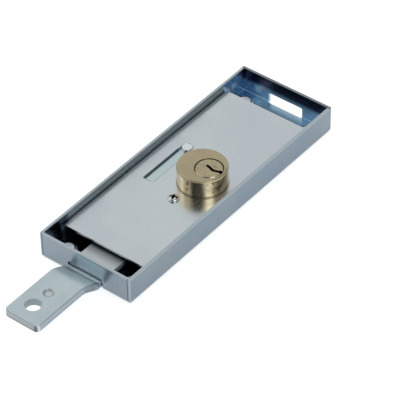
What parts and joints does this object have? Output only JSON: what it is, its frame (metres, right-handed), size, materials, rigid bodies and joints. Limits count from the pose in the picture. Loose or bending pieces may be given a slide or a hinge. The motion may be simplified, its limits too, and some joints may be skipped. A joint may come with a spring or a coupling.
{
  "type": "roller shutter lock",
  "caption": "Flat steel side lock for a roller shutter: a cranked bolt slides out of a folded tray when the plug of a round key cylinder turns its pinion.",
  "frame": {"origin": "middle of the flat back of the tray", "axes": "+X along the tray away from the bolt's working end, +Y towards the guide slot, +Z out of the back towards the key"},
  "size_m": [0.1995, 0.054, 0.0212],
  "materials": {
    "tray_zinc": "bright zinc plate with a blue cast",
    "cover_zinc": "bright zinc plate, faintly rolled",
    "bolt_zinc": "bright zinc plate",
    "slider_zinc": "bright zinc plate",
    "rivet_steel": "bright zinc plate",
    "satin_brass": "turned and satin nickelled",
    "ring_steel": "dark oiled spring steel",
    "nickel_screw": "bright nickel",
    "pinion_steel": "machined",
    "pin_brass": "machined",
    "spring_steel": "drawn wire"
  },
  "bodies": {
    "housing": {"housing_tray": "tray_zinc", "cover_plate": "cover_zinc", "cylinder_body": "satin_brass", "snap_ring": "satin_brass", "fixing_screw": "nickel_screw", "chamber_cap_1": "pin_brass", "chamber_cap_2": "pin_brass", "chamber_cap_3": "pin_brass", "chamber_cap_4": "pin_brass", "pin_spring_1": "spring_steel", "pin_spring_2": "spring_steel", "pin_spring_3": "spring_steel", "pin_spring_4": "spring_steel"},
    "bolt_assembly": {"bolt": "bolt_zinc", "slider_plate": "slider_zinc", "front_slider_rivet": "rivet_steel", "rear_slider_rivet": "rivet_steel", "guide_stud": "rivet_steel"},
    "plug_assembly": {"cylinder_plug": "satin_brass", "pinion": "pinion_steel", "pinion_clip": "ring_steel"},
    "key_pin_1": {"key_pin_1": "pin_brass"},
    "driver_pin_1": {"driver_pin_1": "pin_brass"},
    "key_pin_2": {"key_pin_2": "pin_brass"},
    "driver_pin_2": {"driver_pin_2": "pin_brass"},
    "key_pin_3": {"key_pin_3": "pin_brass"},
    "driver_pin_3": {"driver_pin_3": "pin_brass"},
    "key_pin_4": {"key_pin_4": "pin_brass"},
    "driver_pin_4": {"driver_pin_4": "pin_brass"}
  },
  "joints": [
    {"name": "bolt_slide", "type": "slide", "parent": "housing", "child": "bolt_assembly", "axis": [-1, 0, 0], "range_m": [0, 0.02513]},
    {"name": "plug_turn", "type": "hinge", "parent": "housing", "child": "plug_assembly", "pos_m": [0, -0.012, 0], "axis": [0, 0, 1], "range_deg": [0, 360]},
    {"name": "key_pin_1_slide", "type": "slide", "parent": "plug_assembly", "child": "key_pin_1", "axis": [0, -1, 0], "range_m": [0, 0.0023]},
    {"name": "driver_pin_1_slide", "type": "slide", "parent": "housing", "child": "driver_pin_1", "axis": [0, 1, 0], "range_m": [0, 0.0015], "stiffness_N_per_m": 100, "springref_m": -0.003, "deforming": ["pin_spring_1"]},
    {"name": "key_pin_2_slide", "type": "slide", "parent": "plug_assembly", "child": "key_pin_2", "axis": [0, -1, 0], "range_m": [0, 0.0015]},
    {"name": "driver_pin_2_slide", "type": "slide", "parent": "housing", "child": "driver_pin_2", "axis": [0, 1, 0], "range_m": [0, 0.0015], "stiffness_N_per_m": 100, "springref_m": -0.003, "deforming": ["pin_spring_2"]},
    {"name": "key_pin_3_slide", "type": "slide", "parent": "plug_assembly", "child": "key_pin_3", "axis": [0, -1, 0], "range_m": [0, 0.0027]},
    {"name": "driver_pin_3_slide", "type": "slide", "parent": "housing", "child": "driver_pin_3", "axis": [0, 1, 0], "range_m": [0, 0.0015], "stiffness_N_per_m": 100, "springref_m": -0.003, "deforming": ["pin_spring_3"]},
    {"name": "key_pin_4_slide", "type": "slide", "parent": "plug_assembly", "child": "key_pin_4", "axis": [0, -1, 0], "range_m": [0, 0.0019]},
    {"name": "driver_pin_4_slide", "type": "slide", "parent": "housing", "child": "driver_pin_4", "axis": [0, 1, 0], "range_m": [0, 0.0015], "stiffness_N_per_m": 100, "springref_m": -0.003, "deforming": ["pin_spring_4"]}
  ],
  "couplings": [
    {"joint": "plug_turn", "follows": "bolt_slide", "rad_per_m": 250}
  ]
}
